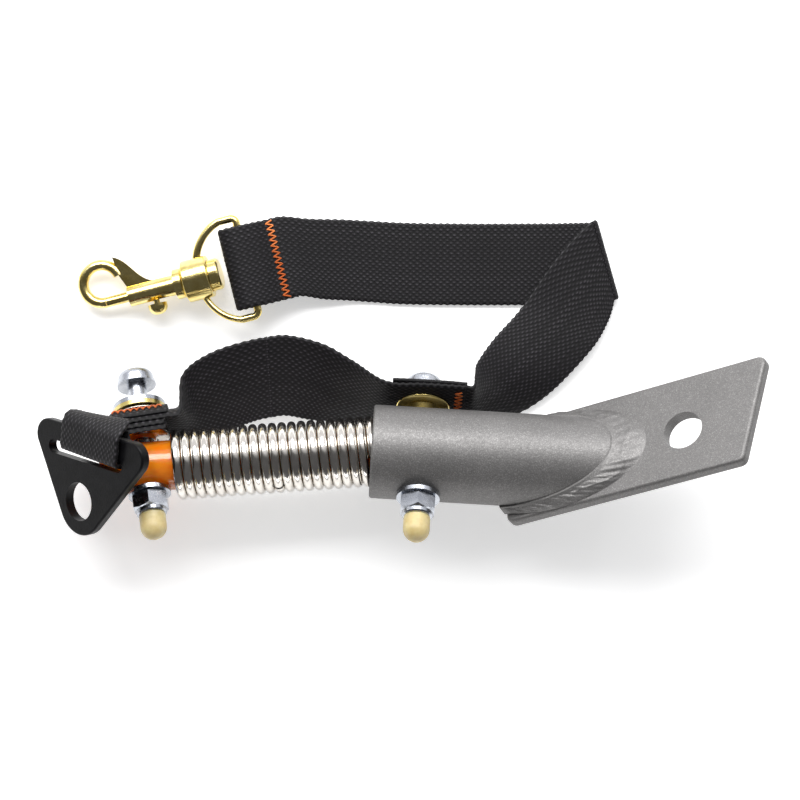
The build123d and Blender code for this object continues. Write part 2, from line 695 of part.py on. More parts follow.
# Snap body: hook, web, barrel and collar
with BuildPart() as snap_body:
    with BuildSketch(along_x(swivel, BARREL_LEFT)):
        Circle(BARREL_R)
    extrude(amount=BARREL_RIGHT - BARREL_LEFT)
    with BuildSketch(along_x(swivel, BARREL_RIGHT)):
        Circle(COLLAR_R)
    extrude(amount=-BOSS_HALF - 0.15 - BARREL_RIGHT)
    collar_end = snap_body.faces().sort_by(Axis(swivel.origin, swivel.x_dir))[-1]
    fillet(collar_end.edges(), radius=0.9)
    with BuildSketch(swivel):
        with BuildLine():
            outer = Spline((-24.0, 12.9), (-20.6, 10.3), (-17.3, 5.9), (-12.0, 2.6))
            Polyline(outer @ 1, (-21.8, 2.0), (-21.8, 3.2), (-23.2, 6.6))
            Line((-23.2, 6.6), outer @ 0)
        make_face()
    extrude(amount=WEB_HALF, both=True)
    with BuildLine(swivel):
        hook_line = CenterArc(HOOK_AT, HOOK_R, HOOK_START, 258 - HOOK_START + 12)
    with BuildSketch(Plane(origin=hook_line @ 0, x_dir=swivel.z_dir, z_dir=hook_line % 0)):
        Circle(HOOK_WIRE_R)
    sweep(path=hook_line)
    with BuildSketch(along_x(swivel, BARREL_LEFT - 1)):
        Circle(PLUNGER_BORE_R)
    extrude(amount=BARREL_BORE_END - BARREL_LEFT + 1, mode=Mode.SUBTRACT)
    with BuildSketch(along_x(swivel, BARREL_BORE_END)):
        Circle(RIVET_R + CLEARANCE)
    extrude(amount=8, mode=Mode.SUBTRACT)
    with BuildSketch(along_y(swivel, -BARREL_R - 1)):
        with Locations((STUD_AT + PLUNGER_TRAVEL / 2, 0)):
            SlotCenterToCenter(PLUNGER_TRAVEL, 2 * STUD_STEM_R + 0.6)
    extrude(amount=BARREL_R + 1, mode=Mode.SUBTRACT)
snap_body.part.label = "snap_body"
export_step(snap_body.part, "parts/snap_body.step")

with BuildPart() as snap_rivet:
    with BuildSketch(along_x(swivel, BARREL_BORE_END + 0.3)):
        Circle(RIVET_R)
    extrude(amount=BOSS_HALF + 1 - BARREL_BORE_END)
    with BuildSketch(along_x(swivel, BOSS_HALF + 0.15)):
        Circle(RIVET_HEAD_R)
    extrude(amount=3.2)
    head_end = snap_rivet.faces().sort_by(Axis(swivel.origin, swivel.x_dir))[-1]
    fillet(head_end.edges(), radius=1.0)
snap_rivet.part.label = "snap_rivet"
export_step(snap_rivet.part, "parts/snap_rivet.step")

# Plunger with its thumb stud, and the spring behind it
with BuildPart() as snap_plunger:
    with BuildSketch(along_x(swivel, PLUNGER_LEFT)):
        Circle(PLUNGER_R)
    extrude(amount=PLUNGER_RIGHT - PLUNGER_LEFT)
snap_plunger.part.label = "snap_plunger"
export_step(snap_plunger.part, "parts/snap_plunger.step")

with BuildPart() as snap_thumb_stud:
    stud_frame = Plane(swivel.location * Location((STUD_AT, 0, 0)))
    with BuildSketch(along_y(stud_frame, STUD_LEVEL)):
        Circle(STUD_STEM_R)
    extrude(amount=-STUD_LEVEL - PLUNGER_R - CLEARANCE)
    with BuildSketch(along_y(stud_frame, STUD_LEVEL)):
        Circle(STUD_R)
    extrude(amount=-STUD_HEIGHT)
    dome = snap_thumb_stud.faces().sort_by(Axis(swivel.origin, swivel.y_dir))[0]
    fillet(dome.edges(), radius=STUD_HEIGHT - 0.8)
snap_thumb_stud.part.label = "snap_thumb_stud"
export_step(snap_thumb_stud.part, "parts/snap_thumb_stud.step")

with BuildPart() as snap_spring:
    spring_room = BARREL_BORE_END - PLUNGER_RIGHT
    with BuildLine():
        small_coil = Helix(
            pitch=(spring_room - 4 * SNAP_SPRING_WIRE_R) / 4,
            height=spring_room - 4 * SNAP_SPRING_WIRE_R,
            radius=SNAP_SPRING_R,
            center=swivel.from_local_coords((PLUNGER_RIGHT + 2 * SNAP_SPRING_WIRE_R, 0, 0)),
            direction=swivel.x_dir,
        )
    with BuildSketch(Plane(origin=small_coil @ 0, z_dir=small_coil % 0)):
        Circle(SNAP_SPRING_WIRE_R)
    sweep(is_frenet=True)
snap_spring.part.label = "snap_spring"
export_step(snap_spring.part, "parts/snap_spring.step")
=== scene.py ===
"""Looks for the trailer hitch arm: woven strap, wound spring, weld, thread and finishes on the CAD frame."""

import json
import math

import bmesh
import bpy
import numpy as np
from mathutils import Matrix, Vector


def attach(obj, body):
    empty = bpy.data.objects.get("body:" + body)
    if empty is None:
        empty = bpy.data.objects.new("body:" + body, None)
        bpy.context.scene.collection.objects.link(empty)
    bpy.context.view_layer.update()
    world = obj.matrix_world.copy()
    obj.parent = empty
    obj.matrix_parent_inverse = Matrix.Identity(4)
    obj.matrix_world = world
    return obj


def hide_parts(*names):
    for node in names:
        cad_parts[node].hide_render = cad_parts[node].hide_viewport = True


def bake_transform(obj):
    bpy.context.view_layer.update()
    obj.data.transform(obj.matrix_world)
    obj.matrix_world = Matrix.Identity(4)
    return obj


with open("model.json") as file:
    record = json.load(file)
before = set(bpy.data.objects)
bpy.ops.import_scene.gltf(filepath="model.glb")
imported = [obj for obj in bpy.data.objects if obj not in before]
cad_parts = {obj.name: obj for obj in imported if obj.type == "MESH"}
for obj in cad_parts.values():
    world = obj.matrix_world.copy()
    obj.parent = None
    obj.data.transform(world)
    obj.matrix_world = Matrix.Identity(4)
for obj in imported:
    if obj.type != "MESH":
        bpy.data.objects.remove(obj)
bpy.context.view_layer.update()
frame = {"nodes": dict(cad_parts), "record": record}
MM = 0.001
dice = np.random.default_rng(11)

# The CAD's own frames and sizes, in millimetres
MOUTH = (-7.5, -22.6, 21.0)
TUBE_R = 14.0
ROD_R = 7.5
ROD_LEFT = -80.7
ROD_RIGHT = 26.0
ROD_EDGE = 1.0
SPRING_RIGHT = 2.0
SPRING_WIRE_R = 1.4
SPRING_R = 9.2
SPRING_PITCH = 2.9
SPLIT_AT = -28.0
PLATE_SLANT = 32.0
PLATE_AT = 53.9
NUT_FLATS = 10.0
NUT_HEIGHT = 4.8
NUT_COLLAR = 1.6
NUT_COLLAR_R = 4.6
SHANK_R = 2.95
GROMMET_R = 8.2
GROMMET_BORE = 3.2
GROMMET_BARREL_R = 4.2
TUBE_STRAP_LEVEL = 17.0
ARM_LOOP_LOW = 10.3
ARM_LOOP_HIGH = 12.1
ARM_STRAP_LOW = 13.9
ARM_STRAP_HIGH = 15.7

# The visible spring reaches past the CAD's left end, and its wire ends on the underside
SPRING_LEFT = -59.3
SPRING_START = math.radians(-110)


def place(origin, *turns):
    """A frame at this origin, turned by each (axis, degrees) about its own directions."""
    matrix = Matrix.Translation(origin)
    for axis, degrees in turns:
        matrix = matrix @ Matrix.Rotation(math.radians(degrees), 4, axis)
    return matrix


def facing(origin, x_dir, z_dir):
    """A frame at this origin with its Z this way and its X as near as it can be to x_dir."""
    z = Vector(z_dir).normalized()
    x = Vector(x_dir)
    x = (x - z * x.dot(z)).normalized()
    y = z.cross(x)
    matrix = Matrix((x, y, z)).transposed().to_4x4()
    matrix.translation = Vector(origin)
    return matrix


HITCH = place(MOUTH, ("Z", -3.4), ("X", -32.0))
ARM = place(MOUTH, ("Z", 3.95), ("X", -26.0))
PLATE = HITCH @ place((PLATE_AT, 0, 0), ("Y", -PLATE_SLANT))
TUBE_BOLT = HITCH @ place((14.6, 0, 0))
ARM_BOLT = ARM @ place((-67.4, 0, 0), ("Z", 5.5))
TRIANGLE = facing((-89.6, -24.7, 30.2), (0.737, -0.226, 0.636), (-0.667, -0.102, 0.736))
SWIVEL = place((-60.6, 29.6, 6.9), ("Z", 14.0), ("Y", -5.5))
EYE_BAR = SWIVEL @ Vector((15.6, 0, 0))
LOOP = place(EYE_BAR, ("Z", 14.0), ("Y", 14.0))


def at(matrix, *points):
    """World places, in millimetres, of points given in a frame."""
    return [tuple(matrix @ Vector(p)) for p in points]


def column(matrix, index):
    """The world direction of a frame's X, Y or Z."""
    return tuple(matrix.col[index].xyz)


def out_of(matrix, local):
    """World places, in millimetres, of an array of points given in a frame."""
    return local @ np.array(matrix.to_3x3()).T + np.array(matrix.translation)


# ---------------------------------------------------------------- meshes
def unit(vectors):
    return vectors / np.linalg.norm(vectors, axis=-1, keepdims=True)


def smooth_line(points, step):
    """Rows every step along a smooth line through these points; extra columns are carried along."""
    p = np.array(points, float)
    gap = np.sqrt(np.linalg.norm(np.diff(p[:, :3], axis=0), axis=1))
    rise = np.diff(p, axis=0) / gap[:, None]
    slope = np.empty_like(p)
    slope[0] = rise[0]
    slope[-1] = rise[-1]
    before = gap[:-1, None]
    after = gap[1:, None]
    slope[1:-1] = (rise[:-1] * after + rise[1:] * before) / (before + after)
    u = np.linspace(0, 1, 24, endpoint=False)[:, None]
    rows = []
    for i, span in enumerate(gap):
        start = (2 * u**3 - 3 * u**2 + 1) * p[i] + (u**3 - 2 * u**2 + u) * span * slope[i]
        end = (3 * u**2 - 2 * u**3) * p[i + 1] + (u**3 - u**2) * span * slope[i + 1]
        rows.append(start + end)
    rows = np.vstack(rows + [p[-1:]])
    steps = np.linalg.norm(np.diff(rows[:, :3], axis=0), axis=1)
    length = np.concatenate([[0], np.cumsum(steps)])
    places = np.linspace(0, length[-1], max(2, round(length[-1] / step)) + 1)
    line = np.column_stack([np.interp(places, length, values) for values in rows.T])
    return line, places


def skin(name, rings, values=None, smooth=True, caps=True):
    """A closed mesh over rings of points in millimetres: an array of rows, ring points and XYZ."""
    rows, ring = rings.shape[:2]
    index = np.arange(rows * ring).reshape(rows, ring)
    low, high = index[:-1], index[1:]
    faces = [np.stack([low, np.roll(low, -1, 1), np.roll(high, -1, 1), high], -1).reshape(-1, 4)]
    if caps:
        j = np.arange(ring // 2 - 1)
        first, last = index[0], index[-1]
        faces.append(np.stack([first[j + 1], first[j], first[ring - 1 - j], first[ring - 2 - j]], -1))
        faces.append(np.stack([last[j], last[j + 1], last[ring - 2 - j], last[ring - 1 - j]], -1))
    faces = np.vstack(faces)
    points = rings.reshape(-1, 3) * MM
    a, b, c, d = (points[faces[:, i]] for i in range(4))
    middle = points.mean(0)
    volume = np.einsum("ij,ij->i", a - middle, np.cross(b - middle, c - middle)).sum()
    volume += np.einsum("ij,ij->i", a - middle, np.cross(c - middle, d - middle)).sum()
    if volume < 0:
        faces = faces[:, ::-1]
    mesh = bpy.data.meshes.new(name)
    mesh.from_pydata(points.tolist(), [], faces.tolist())
    mesh.polygons.foreach_set("use_smooth", np.full(len(faces), smooth))
    if values is not None:
        mesh.attributes.new("yarn", "FLOAT", "POINT").data.foreach_set(
            "value", values.reshape(-1).astype(np.float32)
        )
    mesh.update()
    obj = bpy.data.objects.new(name, mesh)
    bpy.context.scene.collection.objects.link(obj)
    return obj


def pipe(name, path, radii, sides=16):
    """A round bar along a path, its radius given for each point."""
    path = np.array(path, float)
    along = unit(np.gradient(path, axis=0))
    guide = np.cross(along[0], (0.31, 0.17, 0.94))
    turn = np.linspace(0, 2 * math.pi, sides, endpoint=False)[:, None]
    rings = []
    for point, way, radius in zip(path, along, np.broadcast_to(radii, len(path))):
        guide = unit(guide - way * np.dot(guide, way))
        other = np.cross(way, guide)
        rings.append(point + radius * (np.cos(turn) * guide + np.sin(turn) * other))
    return skin(name, np.array(rings))


def lathe(name, matrix, profile, sides=96):
    """A turned ring about a frame's Y direction, from a closed outline of (radius, level)."""
    outline = np.array(profile, float)
    turn = np.linspace(0, 2 * math.pi, sides + 1)
    radius, level = outline[:, 0], outline[:, 1]
    local = np.stack(
        [
            np.cos(turn)[:, None] * radius,
            np.broadcast_to(level, (sides + 1, len(level))),
            np.sin(turn)[:, None] * radius,
        ],
        -1,
    )
    obj = skin(name, out_of(matrix, local), caps=False)
    weld_seam(obj)
    return obj


def weld_seam(obj):
    """Joins the last ring of a turned piece to its first."""
    mesh = bmesh.new()
    mesh.from_mesh(obj.data)
    bmesh.ops.remove_doubles(mesh, verts=mesh.verts, dist=1e-7)
    mesh.to_mesh(obj.data)
    mesh.free()


# ---------------------------------------------------------------- finishes
def finish_of(name, **sockets):
    """A material whose shader has these values.

    Returns it, a function that adds a node, one that links into the shader, and the object's coordinates."""
    made = bpy.data.materials.new(name)
    made.use_nodes = True
    tree = made.node_tree
    shader = tree.nodes["Principled BSDF"]
    for socket, value in sockets.items():
        shader.inputs[socket.replace("_", " ")].default_value = value
    place_node = tree.nodes.new("ShaderNodeTexCoord")

    def add(kind, inputs=(), **settings):
        node = tree.nodes.new("ShaderNode" + kind)
        for key, value in settings.items():
            setattr(node, key, value)
        for key, value in dict(inputs).items():
            if isinstance(value, bpy.types.NodeSocket):
                tree.links.new(value, node.inputs[key])
            else:
                node.inputs[key].default_value = value
        return node

    def to(socket, output):
        tree.links.new(output, shader.inputs[socket])

    return made, add, to, place_node.outputs["Object"]


def fill_ramp(node, stops):
    """Gives a colour ramp these (position, colour) stops, in rising order."""
    elements = node.color_ramp.elements
    while len(elements) < len(stops):
        elements.new(0.5)
    for element, (position, colour) in zip(elements, stops):
        element.position = position
        element.color = (*colour, 1)


def ramp(add, fac, stops):
    """A colour ramp through (position, colour) stops."""
    node = add("ValToRGB", {"Fac": fac})
    fill_ramp(node, stops)
    return node.outputs["Color"]


def noise(add, place_out, scale, detail=4.0, roughness=0.6, stretch=None):
    """Noise in metres of the object's own space, stretched where asked."""
    vector = place_out
    if stretch:
        vector = add("Mapping", {"Vector": place_out, "Scale": stretch}).outputs["Vector"]
    node = add(
        "TexNoise", {"Vector": vector, "Scale": scale, "Detail": detail, "Roughness": roughness}
    )
    return node.outputs["Fac"]


def spread(add, value, low, high):
    """The middle of a value's range, 0.3 to 0.7, spread between low and high."""
    ends = {"From Min": 0.3, "From Max": 0.7, "To Min": low, "To Max": high}
    return add("MapRange", {"Value": value, **ends}).outputs["Result"]


def bump(add, height, distance, strength=1.0):
    node = add("Bump", {"Height": height, "Distance": distance, "Strength": strength})
    return node.outputs["Normal"]


def powder_coat():
    made, add, to, here = finish_of("grey_powder_coat", Metallic=0.55, IOR=1.5)
    flakes = add("TexVoronoi", {"Vector": here, "Scale": 5200.0})
    bright = add("SeparateColor", {"Color": flakes.outputs["Color"]}).outputs["Red"]
    stops = [(0.0, (0.15, 0.146, 0.143)), (0.75, (0.185, 0.18, 0.176)), (0.97, (0.27, 0.263, 0.257))]
    flecks = ramp(add, bright, stops)
    cloud = spread(add, noise(add, here, 60.0, 3.0), 0.93, 1.07)
    tinted = add("VectorMath", {0: flecks, "Scale": cloud}, operation="SCALE")
    to("Base Color", tinted.outputs["Vector"])
    to("Roughness", spread(add, noise(add, here, 900.0, 3.0), 0.46, 0.58))
    to("Normal", bump(add, noise(add, here, 1400.0, 3.0), 0.00005))
    return made


def plated(name, dark, light, rough, scratch=0.00001, stain=None):
    """Bright plating over drawn or stamped metal, a little cloudy and finely scratched."""
    made, add, to, here = finish_of(name, Metallic=1.0)
    cloud = noise(add, here, 220.0, 5.0)
    stops = [(0.3, dark), (0.7, light)]
    if stain:
        stops = [(0.28, stain), (0.42, dark), (0.72, light)]
    to("Base Color", ramp(add, cloud, stops))
    to("Roughness", spread(add, noise(add, here, 700.0, 4.0), rough * 0.75, rough * 1.3))
    to("Normal", bump(add, noise(add, here, 900.0, 5.0, 0.7, (1, 4, 1)), scratch))
    return made


def urethane():
    made, add, to, here = finish_of(
        "orange_urethane",
        Roughness=0.14,
        Transmission_Weight=0.35,
        Subsurface_Weight=0.6,
        Subsurface_Radius=(1.0, 0.32, 0.05),
        Subsurface_Scale=0.004,
        Coat_Weight=0.5,
        Coat_Roughness=0.06,
        IOR=1.49,
    )
    cloud = noise(add, here, 120.0, 3.0)
    to("Base Color", ramp(add, cloud, [(0.3, (0.95, 0.2, 0.006)), (0.7, (1.0, 0.33, 0.015))]))
    to("Normal", bump(add, noise(add, here, 300.0, 3.0), 0.00006))
    return made


def soft_plastic(name, dark, light, rough, depth, waxy=0.5):
    made, add, to, here = finish_of(
        name,
        Subsurface_Weight=waxy,
        Subsurface_Radius=(1.0, 0.8, 0.4),
        Subsurface_Scale=0.002,
        IOR=1.46,
    )
    cloud = noise(add, here, 400.0, 4.0)
    to("Base Color", ramp(add, cloud, [(0.3, dark), (0.7, light)]))
    to("Roughness", spread(add, noise(add, here, 1500.0), rough * 0.85, rough * 1.2))
    to("Normal", bump(add, noise(add, here, 2500.0, 3.0), depth))
    return made


def black_coat():
    made, add, to, here = finish_of(
        "black_satin_coat", IOR=1.5, Coat_Weight=0.05, Coat_Roughness=0.2, Specular_IOR_Level=0.12
    )
    cloud = noise(add, here, 300.0, 4.0)
    to("Base Color", ramp(add, cloud, [(0.3, (0.0022, 0.0022, 0.0026)), (0.7, (0.0055, 0.0055, 0.0062))]))
    to("Roughness", spread(add, noise(add, here, 1200.0, 4.0), 0.3, 0.44))
    to("Normal", bump(add, noise(add, here, 1500.0, 4.0), 0.00006))
    return made


def woven(name, shaded_deep, crown, sheen):
    """Woven yarn: painted shade where it dives under, a painted highlight on its crowns, and fine fibres."""
    made, add, to, here = finish_of(
        name, IOR=1.48, Sheen_Weight=sheen, Sheen_Roughness=0.35, Specular_IOR_Level=0.3
    )
    height = add("Attribute", attribute_name="yarn").outputs["Fac"]
    between = tuple(0.7 * a + 0.15 * b for a, b in zip(shaded_deep, crown))
    # On the webbing the attribute is the weave's height, so this ramp paints shade in its dips and a
    # highlight on its crowns; on the thread it is a stripe that winds round it.
    yarn = ramp(add, height, [(0.1, shaded_deep), (0.6, between), (0.98, crown)])
    fibres = spread(add, noise(add, here, 5200.0, 3.0, 0.7), 0.7, 1.3)
    shade = add("VectorMath", {0: yarn, "Scale": fibres}, operation="SCALE").outputs["Vector"]
    drift = spread(add, noise(add, here, 90.0, 3.0), 0.85, 1.15)
    to("Base Color", add("VectorMath", {0: shade, "Scale": drift}, operation="SCALE").outputs["Vector"])
    to("Roughness", spread(add, height, 0.62, 0.46))
    to("Normal", bump(add, noise(add, here, 6000.0, 3.0, 0.7), 0.00004))
    return made


MATERIALS = {
    "grey_coat": powder_coat(),
    "bush_nylon": soft_plastic("bush_nylon", (0.02, 0.02, 0.02), (0.05, 0.05, 0.05), 0.5, 0.00003, 0.0),
    "orange_urethane": urethane(),
    "nickel": plated("bright_nickel", (0.62, 0.585, 0.54), (0.8, 0.77, 0.72), 0.15),
    "zinc": plated("bright_zinc", (0.36, 0.38, 0.42), (0.56, 0.58, 0.62), 0.24, 0.00002),
    "yellow_zinc": plated(
        "yellow_zinc", (0.62, 0.5, 0.16), (0.78, 0.7, 0.4), 0.26, 0.00002, (0.55, 0.4, 0.3)
    ),
    "nylon_insert": soft_plastic("nylon_insert", (0.6, 0.66, 0.72), (0.78, 0.8, 0.84), 0.4, 0.00002, 0.2),
    "ivory_cap": soft_plastic("ivory_cap", (0.56, 0.44, 0.2), (0.68, 0.57, 0.3), 0.34, 0.00003, 0.6),
    "brass_plate": plated("bright_gold_plate", (0.74, 0.56, 0.16), (0.93, 0.79, 0.36), 0.15, 0.00003),
    "spring_steel": plated("spring_steel", (0.42, 0.42, 0.43), (0.58, 0.58, 0.6), 0.3),
    # The webbing's two colours are its painted shade in the weave's dips and its painted highlight on the
    # crowns.
    "webbing": woven("black_webbing", (0.0018, 0.0014, 0.002), (0.055, 0.05, 0.058), 0.05),
    "orange_thread": woven("orange_thread", (0.5, 0.1, 0.015), (0.86, 0.27, 0.07), 0.3),
    "black_coat": black_coat(),
}
NODE_SLOTS = {part["node"]: part["material_slot"] for part in frame["record"]["subparts"]}
for node_name, node in frame["nodes"].items():
    node.data.materials.clear()
    node.data.materials.append(MATERIALS[NODE_SLOTS[node_name]])


def made_of(obj, slot_name, *nodes):
    """Gives a piece the finish of a record slot, and hides the CAD nodes that it stands for."""
    obj.data.materials.append(MATERIALS[slot_name])
    if nodes:
        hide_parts(*nodes)
    return obj


# ---------------------------------------------------------------- webbing
WEB_WIDTH = 25.0
YARNS = 31
YARN_PITCH = 2.08
WEB_HALF = 0.6
YARN_RISE = 0.16
ROW_STEP = 0.42
SELVAGE = 0.8
SELVAGE_THINNING = 0.86
SELVAGE_CROWN = 0.3
SCALLOP = 0.14
YARN_SHOULDER = 0.5
YARN_LAG = 0.035
YARN_FULLNESS = 0.08
YARN_WANDER = 0.02
FLAT_HALF = 5.0
DRAWN_IN = 0.09
ROD_WRAP = 3.8


def ribbon(name, route, across, cup=None, lean_way=(0, 0, -1)):
    """Woven webbing through a route in millimetres; across is its width direction at each point.

    cup is how far, at each point, its two edges lean that way round what it lies on."""
    lean = np.zeros(len(route)) if cup is None else np.array(cup, float)
    line, length = smooth_line(np.column_stack([np.array(route), np.array(across), lean]), ROW_STEP)
    centre = line[:, :3]
    along = unit(np.gradient(centre, axis=0))
    side = unit(line[:, 3:6])
    up = unit(np.cross(along, side))
    yarn = np.repeat(np.arange(YARNS), 3)
    within = np.tile([1 / 6, 0.5, 5 / 6], YARNS)
    y = (yarn + within) * WEB_WIDTH / YARNS - WEB_WIDTH / 2
    half = WEB_WIDTH / 2
    y = np.concatenate([[-half], y, [half]])
    yarn = np.concatenate([[0], yarn, [YARNS - 1]])
    across_yarn = np.tile([YARN_SHOULDER, 1.0, YARN_SHOULDER], YARNS)
    crown = np.concatenate([[SELVAGE_CROWN], across_yarn, [SELVAGE_CROWN]])
    rim = np.clip((np.abs(y) - (half - SELVAGE)) / SELVAGE, 0, 1)
    body = WEB_HALF * np.sqrt(1 - SELVAGE_THINNING * rim**2)
    lag = dice.normal(0, YARN_LAG, YARNS)[yarn] + 0.5 * (yarn % 2)
    fullness = (1 + dice.normal(0, YARN_FULLNESS, YARNS))[yarn]
    beat = length[:, None] / YARN_PITCH
    wander = YARN_WANDER * np.sin(beat * 0.7 + yarn * 0.9)
    wave = 0.5 + 0.5 * np.cos(2 * math.pi * (beat + lag + wander))
    lift_top = wave * crown * fullness
    lift_bottom = (1 - wave) * crown * fullness
    scallop = SCALLOP * np.sign(y) * rim * np.cos(2 * math.pi * beat)
    reach = np.clip(np.abs(y) - FLAT_HALF, 0, None) / (half - FLAT_HALF)
    back = line[:, 6:7] * reach**2
    drawn_in = np.sign(y) * DRAWN_IN * back * reach * line[:, 6:7]
    spot = (y + scallop - drawn_in)[..., None]
    base = centre[:, None] + spot * side[:, None] + np.array(lean_way) * back[..., None]
    top = base + up[:, None] * (body + YARN_RISE * lift_top)[..., None]
    bottom = base - up[:, None] * (body + YARN_RISE * lift_bottom)[..., None]
    rings = np.concatenate([top, bottom[:, ::-1]], axis=1)
    # The weave's lift, kept as the yarn attribute, sets the webbing's painted shade in its dips and painted
    # highlight on its crowns.
    values = np.concatenate([lift_top, lift_bottom[:, ::-1]], axis=1)
    obj = made_of(skin(name, rings, values), "webbing")
    obj["length"] = float(length[-1])
    return obj


def strap_sheet(obj):
    return obj


TUBE_ACROSS = column(HITCH, 2)
ARM_ACROSS = column(ARM, 2)
TRIANGLE_ACROSS = column(TRIANGLE, 0)
ROD_SIDE = tuple(-ARM_BOLT.col[1].xyz)
TUBE_SIDE = tuple(-TUBE_BOLT.col[1].xyz)

# From the tube's bolt to the middle of the spring, and on to the rod's bolt with its end doubled back
bridge_middle = (-34.2, 0.2, 5.6)
middle_across = (0.0, 0.98, 0.2)
bridge_near = ribbon(
    "strap_bridge_near",
    [
        *at(TUBE_BOLT, (12.4, TUBE_STRAP_LEVEL, 0), (0, TUBE_STRAP_LEVEL, 0), (-11.6, TUBE_STRAP_LEVEL, 0)),
        (-17.2, -4.4, 9.2),
        (-25.2, -1.6, 6.4),
        bridge_middle,
        (-39.6, -0.45, 5.43),
    ],
    [*[TUBE_ACROSS] * 3, (0.25, 0.75, 0.61), (0.15, 0.93, 0.33), middle_across, (-0.055, 0.98, 0.21)],
)
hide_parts("strap_bridge")
bridge_far = ribbon(
    "strap_bridge_far",
    [
        (-38.9, -0.3, 5.45),
        (-43.7, -1.3, 5.4),
        (-52.7, -4.3, 5.8),
        (-60.7, -8.6, 9.0),
        *at(ARM_BOLT, (12.5, ARM_STRAP_LOW + 0.5, 0), (8.6, ARM_STRAP_LOW, 0)),
        *at(ARM_BOLT, (0, ARM_STRAP_LOW, 0), (-6.9, ARM_STRAP_LOW, 0)),
        *at(ARM_BOLT, (-7.7, 14.25, 0), (-8.0, 14.8, 0), (-7.7, 15.35, 0), (-6.9, ARM_STRAP_HIGH, 0)),
        *at(ARM_BOLT, (0, ARM_STRAP_HIGH, 0), (9, ARM_STRAP_HIGH, 0)),
    ],
    [(-0.05, 0.98, 0.21), (-0.1, 0.97, 0.22), (-0.33, 0.9, 0.3), (-0.3, 0.78, 0.55), *[ARM_ACROSS] * 10],
    [0, 0, 0, 0.8, *[ROD_WRAP] * 10],
    ROD_SIDE,
)
patch = ribbon(
    "strap_patch",
    at(TUBE_BOLT, (-9.5, 18.6, 0), (-5, 18.7, 0), (8, 18.7, 0), (12.8, 18.5, 0)),
    [TUBE_ACROSS] * 4,
    [0.5] * 4,
    TUBE_SIDE,
)
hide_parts("strap_tube_patch")
loop_front = ribbon(
    "strap_end_loop_front",
    [
        *at(ARM_BOLT, (7.6, ARM_LOOP_HIGH, 0), (0, ARM_LOOP_HIGH, 0), (-9.8, ARM_LOOP_HIGH, 0)),
        (-88.3, -15.2, 22.9),
        *at(TRIANGLE, (0.2, 12.4, -3.2), (0.9, 11.8, 0.6), (1.2, 9.6, 2.6), (1.2, 5.5, 2.6)),
        *at(TRIANGLE, (0.8, 1.9, 2.5), (0.6, 1.0, 1.4), (0.6, 0.8, 0)),
    ],
    [*[ARM_ACROSS] * 3, (0.42, 0.18, 0.88), (0.68, -0.1, 0.73), *[TRIANGLE_ACROSS] * 6],
    [*[ROD_WRAP] * 3, 1.5, *[0] * 7],
    ROD_SIDE,
)
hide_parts("strap_loop_front")
loop_back = ribbon(
    "strap_end_loop_back",
    [
        *at(ARM_BOLT, (8, ARM_LOOP_LOW, 0), (0, ARM_LOOP_LOW, 0), (-9.8, ARM_LOOP_LOW, 0)),
        (-87.4, -16.2, 22.4),
        *at(TRIANGLE, (-0.8, 9.4, -3.4), (0, 5.5, -2.6), (-0.5, 1.9, -2.5), (-0.5, 1.0, -1.4)),
        *at(TRIANGLE, (-0.5, 0.8, 0)),
    ],
    [*[ARM_ACROSS] * 3, (0.35, 0.2, 0.9), *[TRIANGLE_ACROSS] * 5],
    [*[ROD_WRAP] * 3, 1.5, *[0] * 5],
    ROD_SIDE,
)
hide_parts("strap_loop_back")
fold_across = (-0.27, 0.96, 0.0)
tail = ribbon(
    "strap_tail_woven",
    [
        *at(TUBE_BOLT, (12.2, TUBE_STRAP_LEVEL, 0), (14.6, TUBE_STRAP_LEVEL, 0)),
        (28.0, -6.5, 10.9),
        (33.3, -2.3, 8.2),
        (40.8, 5.5, 5.2),
        (49.2, 14.9, 3.7),
        (56.2, 25.5, 3.1),
        (61.4, 33.0, 2.9),
        (63.4, 35.6, 2.8),
    ],
    [
        TUBE_ACROSS,
        TUBE_ACROSS,
        (-0.35, 0.55, 0.76),
        (-0.7, 0.52, 0.49),
        (-0.83, 0.54, 0.15),
        (-0.86, 0.51, 0.0),
        (-0.67, 0.74, 0.0),
        (-0.4, 0.92, 0.0),
        fold_across,
    ],
)
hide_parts("strap_tail")
LOOP_PROFILE = [
    (13.5, -0.8),
    (8.4, -0.85),
    (4.2, -1.9),
    (0.0, -2.35),
    (-3.6, -1.9),
    (-5.7, 0.0),
    (-3.6, 1.9),
    (0.0, 2.35),
    (4.2, 1.9),
    (8.4, 0.85),
    (13.5, 0.8),
]
FOLD = Vector((63.4, 35.5, 1.85))
FOLD_WAY = Vector((0.96, 0.27, 0.0))
FOLD_R = 0.95
fold_turn = []
for degrees in (-60, -20, 20, 60, 90):
    swing = math.radians(degrees)
    outward = math.cos(swing) * FOLD_WAY + math.sin(swing) * Vector((0, 0, 1))
    fold_turn.append(tuple(FOLD + FOLD_R * outward))
run = ribbon(
    "strap_run_woven",
    [
        *at(LOOP, *[(x, 0, z) for x, z in LOOP_PROFILE]),
        (-24.7, 35.9, 3.5),
        (-16.2, 35.7, 1.7),
        (-7.2, 35.2, 0.9),
        (1.0, 34.7, 0.9),
        (19.4, 34.4, 0.9),
        (37.8, 34.4, 0.9),
        (52.8, 34.6, 0.9),
        (63.0, 35.3, 0.9),
        *fold_turn,
    ],
    [
        *[column(SWIVEL, 1)] * 11,
        (-0.18, 0.98, 0),
        (-0.1, 0.99, 0),
        (-0.04, 1, 0),
        *[(0, 1, 0)] * 3,
        (-0.1, 0.99, 0),
        *[fold_across] * 6,
    ],
)
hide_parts("strap_run")

# ---------------------------------------------------------------- thread
THREAD_R = 0.27


